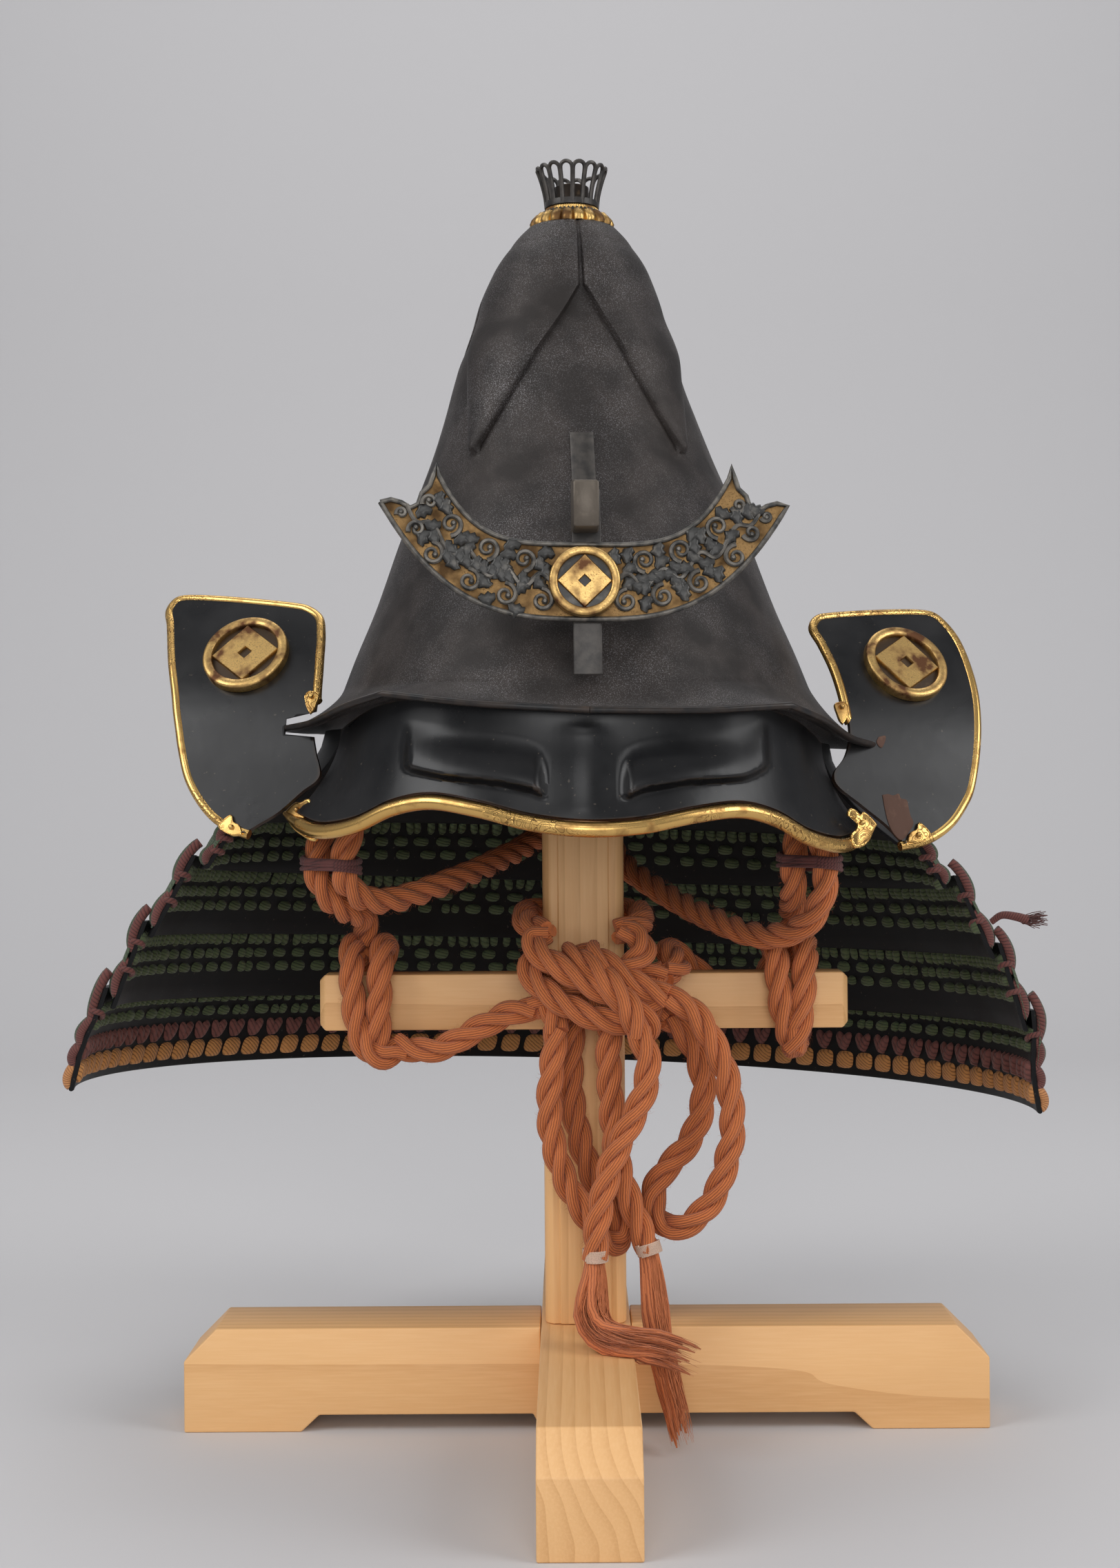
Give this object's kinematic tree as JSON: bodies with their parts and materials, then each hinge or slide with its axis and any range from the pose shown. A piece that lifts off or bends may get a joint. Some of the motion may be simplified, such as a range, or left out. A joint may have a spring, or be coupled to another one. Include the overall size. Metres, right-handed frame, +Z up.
{
  "type": "samurai helmet on wooden stand",
  "caption": "Kabuto with a tall lobed bowl, gilt crescent crest, turned-back ears and laced neck guard, on a plain wooden cross stand with rope ties.",
  "frame": {"origin": "middle of the stand's underside, on the surface that it stands on", "axes": "+Z up, the visor and crest face -Y, +X is to the right of someone who faces the helmet"},
  "size_m": [0.4329, 0.3865, 0.5675],
  "materials": {
    "wood": "planed pale softwood, bare, with a fine straight grain",
    "iron": "hammered iron, russeted dark brown, with a fine silvery speckle",
    "lacquer": "near-black gloss lacquer over iron, rubbed and chipped at the edges",
    "gilt": "engraved gilt copper, worn, brown in the hollows",
    "bronze": "dark bronze, worn at the corners",
    "patina": "blue-black patinated copper alloy",
    "lace_green": "dark green braided silk, faded and frayed",
    "lace_maroon": "maroon braided silk",
    "rope": "three-strand twisted orange-brown cotton rope, fuzzy"
  },
  "bodies": {
    "root": {"stand_cross_beam": "wood", "stand_front_back_beam": "wood", "stand_post": "wood", "stand_crossbar": "wood", "bowl": "iron", "visor": "lacquer", "ear_left": "lacquer", "ear_right": "lacquer", "lame_1": "lacquer", "lame_2": "lacquer", "lame_3": "lacquer", "lame_4": "lacquer", "lame_5": "lacquer", "top_ring_lobed": "gilt", "top_ring_beaded": "gilt", "crest_crescent": "gilt", "crest_medallion": "gilt", "visor_rim": "gilt", "ear_rim_left": "gilt", "ear_rim_right": "gilt", "ear_medallion_left": "gilt", "ear_medallion_right": "gilt", "top_tube": "bronze", "crest_prong": "bronze", "crest_hook": "bronze", "top_basket": "patina", "crest_scroll": "patina", "lacing_2": "lace_green", "lacing_3": "lace_green", "lacing_4": "lace_green", "lacing_5": "lace_green", "rope_drape_left": "rope", "rope_drape_right": "rope", "rope_drop_left": "rope", "rope_drop_right": "rope", "rope_lead_left": "rope", "rope_lead_right": "rope", "rope_wrap": "rope", "rope_hang_left": "rope", "rope_hang_middle": "rope", "rope_hang_right": "rope", "rope_loop": "rope", "rope_hitch_left": "rope", "rope_hitch_right": "rope", "rope_knot": "rope", "tassel_left": "rope", "tassel_right": "rope", "rope_binding_left": "lace_maroon", "rope_binding_right": "lace_maroon"}
  },
  "joints": []
}
